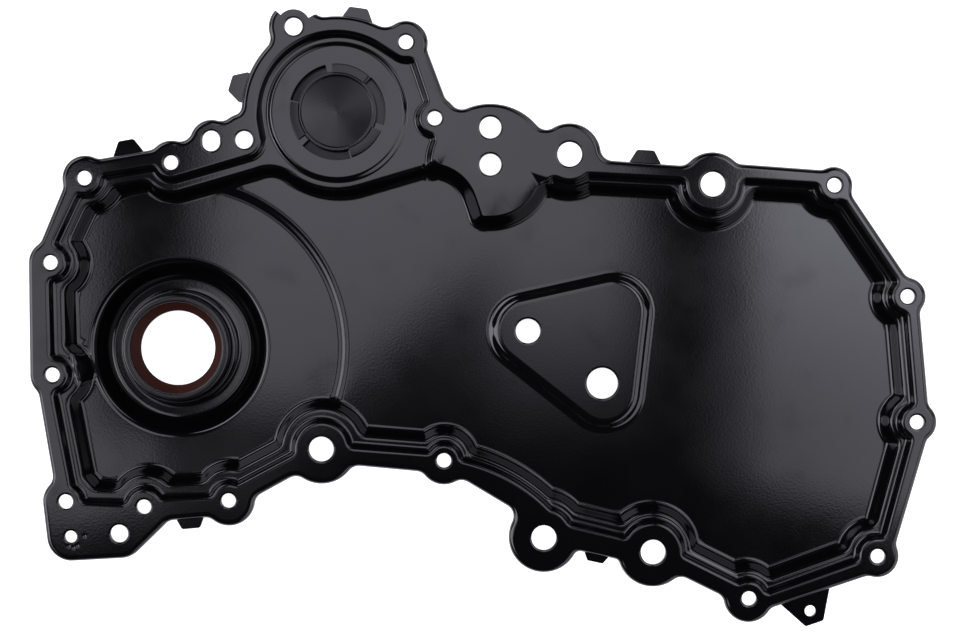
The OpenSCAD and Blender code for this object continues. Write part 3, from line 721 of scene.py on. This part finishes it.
dishZ = lugTop - plugForm["dishH"]
plugProfile = roundedProfile([
    (0.01, capZ - plugForm["capH"], 0), (plugForm["capR"], capZ - plugForm["capH"], 1.0),
    (plugForm["capR"], capZ, 0.8), (plugForm["barrelR"], capZ, 0.3), (plugForm["barrelR"], lugTop, 0.3),
    (plugForm["dishR"], lugTop, 0.45), (plugForm["dishR"], dishZ, 0.6), (0.01, dishZ - plugForm["dishCone"], 0)])
plugParts = [turned(plugProfile, plugPlace), plugGrip()] + [plugLug(a) for a in plugForm["lugsAt"]]
plugPiece = makePiece("accessPlug", plugParts, mouldedSurface("filledNylon", plugLook))
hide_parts("access_plug")
ringMid, ringR = capZ + plugForm["ringD"] / 2, plugForm["ringD"] / 2 - 0.01
ringCentre = plugHole["slotR"] + plugForm["ringD"] / 2 + 0.6
ringProfile = [(ringCentre + ringR * math.cos(a), ringMid + ringR * math.sin(a))
               for a in np.arange(24) * math.tau / 24]
ringPiece = makePiece("plugRing", [turned(ringProfile, plugPlace)], mouldedSurface("ringRubber", ringLook))
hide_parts("plug_ring")
print("plug built")

# Floor, camera and studio light
stageLook = {"floor": "#f4f4f4", "floorGlow": 1.0, "floorSize": 6.0, "cameraHeight": 800.0, "pixelMm": 0.485,
             "imageWidth": 960, "lookAt": (148.0, 13.6)}
floorMesh = bpy.data.meshes.new("floor")
half = stageLook["floorSize"] / 2
floorZ = cadBox[0][2]
floorMesh.from_pydata([(-half, -half, floorZ), (half, -half, floorZ), (half, half, floorZ), (-half, half, floorZ)],
                      [], [(0, 1, 2, 3)])
floor = bpy.data.objects.new("floor", floorMesh)
bpy.context.scene.collection.objects.link(floor)
floorMaterial = bpy.data.materials.new("paleFloor")
floorMaterial.use_nodes = True
floorShader = floorMaterial.node_tree.nodes["Principled BSDF"]
floorShader.inputs["Base Color"].default_value = linear(stageLook["floor"])
floorShader.inputs["Roughness"].default_value = 0.9
floorShader.inputs["Emission Color"].default_value = linear(stageLook["floor"])
floorShader.inputs["Emission Strength"].default_value = stageLook["floorGlow"]
floorMesh.materials.append(floorMaterial)

cameraData = bpy.data.cameras.new("camera")
camera = bpy.data.objects.new("camera", cameraData)
bpy.context.scene.collection.objects.link(camera)
camera.location = (stageLook["lookAt"][0] * mm, stageLook["lookAt"][1] * mm,
                   (p["flangeZ"] + stageLook["cameraHeight"]) * mm)
cameraData.sensor_width = 36.0
cameraData.lens = 36.0 * stageLook["cameraHeight"] / (stageLook["imageWidth"] * stageLook["pixelMm"])
bpy.context.scene.camera = camera

# The studio's soft panels by direction from the part: u = x/z and v = y/z of the panel's edges, how soft the
# edges are in u and in v, and the strength; slant leans the v edges, and what no panel covers is a dark room
lightPanels = [
    {"u": (-0.165, -0.1), "v": (-0.052, 0.5), "slant": 0, "soft": (0.022, 0.02), "strength": 1.6},
    {"u": (-0.1, 0.006), "v": (0.033, 0.5), "slant": 0.85, "soft": (0.022, 0.02), "strength": 1.6},
    {"u": (-0.165, 0.006), "v": (0.03, 0.5), "slant": 0.3, "soft": (0.022, 0.11), "strength": 0.62},
    {"u": (0.006, 0.095), "v": (-0.014, 0.45), "slant": 0, "soft": (0.022, 0.075), "strength": 2.05},
    {"u": (0.14, 0.5), "v": (-0.058, 0.4), "slant": -0.25, "soft": (0.01, 0.012), "strength": 0.5},
    {"u": (0.166, 0.5), "v": (-0.058, 0.4), "slant": -0.25, "soft": (0.012, 0.012), "strength": 1.15},
    {"u": (0.215, 0.5), "v": (-0.058, 0.4), "slant": -0.25, "soft": (0.05, 0.012), "strength": 0.5},
    {"u": (0.166, 0.45), "v": (0.01, 0.4), "slant": 0, "soft": (0.012, 0.09), "strength": 2.3},
    {"u": (-0.5, -0.23), "v": (-0.124, 0.09), "slant": 0, "soft": (0.012, 0.007), "strength": 1.75},
    {"u": (-0.23, -0.197), "v": (-0.116, -0.066), "slant": 0, "soft": (0.012, 0.01), "strength": 1.6},
    {"u": (-0.197, -0.12), "v": (-0.115, -0.075), "slant": 0, "soft": (0.012, 0.014), "strength": 0.3},
    {"u": (-6, -0.6), "v": (-0.6, 0.45), "slant": 0, "soft": (0.12, 0.12), "strength": 4.5},
    {"u": (0.7, 6), "v": (-2.5, 0.3), "slant": 0, "soft": (0.12, 0.12), "strength": 2.2},
    {"u": (-2.2, -0.6), "v": (0.6, 2.2), "slant": 0, "soft": (0.12, 0.12), "strength": 4.5},
    {"u": (0.6, 2.2), "v": (0.6, 2.2), "slant": 0, "soft": (0.12, 0.12), "strength": 2.4},
]
tentLook = {"dark": 0.03, "colour": "#f0effe"}


def studioTent():
    world = bpy.data.worlds.new("studioTent")
    world.use_nodes = True
    bpy.context.scene.world = world
    tree = world.node_tree
    background = tree.nodes["Background"]
    way = addNode(tree, "ShaderNodeSeparateXYZ", {}, {},
                  {"Vector": addNode(tree, "ShaderNodeTexCoord").outputs["Generated"]})
    height = addNode(tree, "ShaderNodeMath", {"operation": "MAXIMUM"}, {1: 0.02}, {0: way.outputs["Z"]})
    across = {axis: addNode(tree, "ShaderNodeMath", {"operation": "DIVIDE"}, {},
                            {0: way.outputs[side], 1: height.outputs[0]}).outputs[0]
              for axis, side in (("u", "X"), ("v", "Y"))}
    total = None
    for panel in lightPanels:
        leaning = addNode(tree, "ShaderNodeMath", {"operation": "MULTIPLY_ADD"}, {1: -panel["slant"]},
                          {0: across["u"], 2: across["v"]}).outputs[0]
        glow = None
        for axis, value, soft in (("u", across["u"], panel["soft"][0]), ("v", leaning, panel["soft"][1])):
            for edge, rising in zip(panel[axis], (1, 0)):
                fade = addNode(tree, "ShaderNodeMapRange", {"interpolation_type": "SMOOTHSTEP"},
                               {"From Min": edge - soft, "From Max": edge + soft,
                                "To Min": 1 - rising, "To Max": rising},
                               {"Value": value}).outputs["Result"]
                glow = fade if glow is None else addNode(tree, "ShaderNodeMath", {"operation": "MULTIPLY"}, {},
                                                         {0: glow, 1: fade}).outputs[0]
        start = {2: tentLook["dark"]} if total is None else {}
        total = addNode(tree, "ShaderNodeMath", {"operation": "MULTIPLY_ADD"}, {1: panel["strength"], **start},
                        {0: glow} if total is None else {0: glow, 2: total}).outputs[0]
    tree.links.new(total, background.inputs["Strength"])
    background.inputs["Color"].default_value = linear(tentLook["colour"])


studioTent()
bpy.context.scene.view_settings.view_transform = "Standard"
print("stage ready")
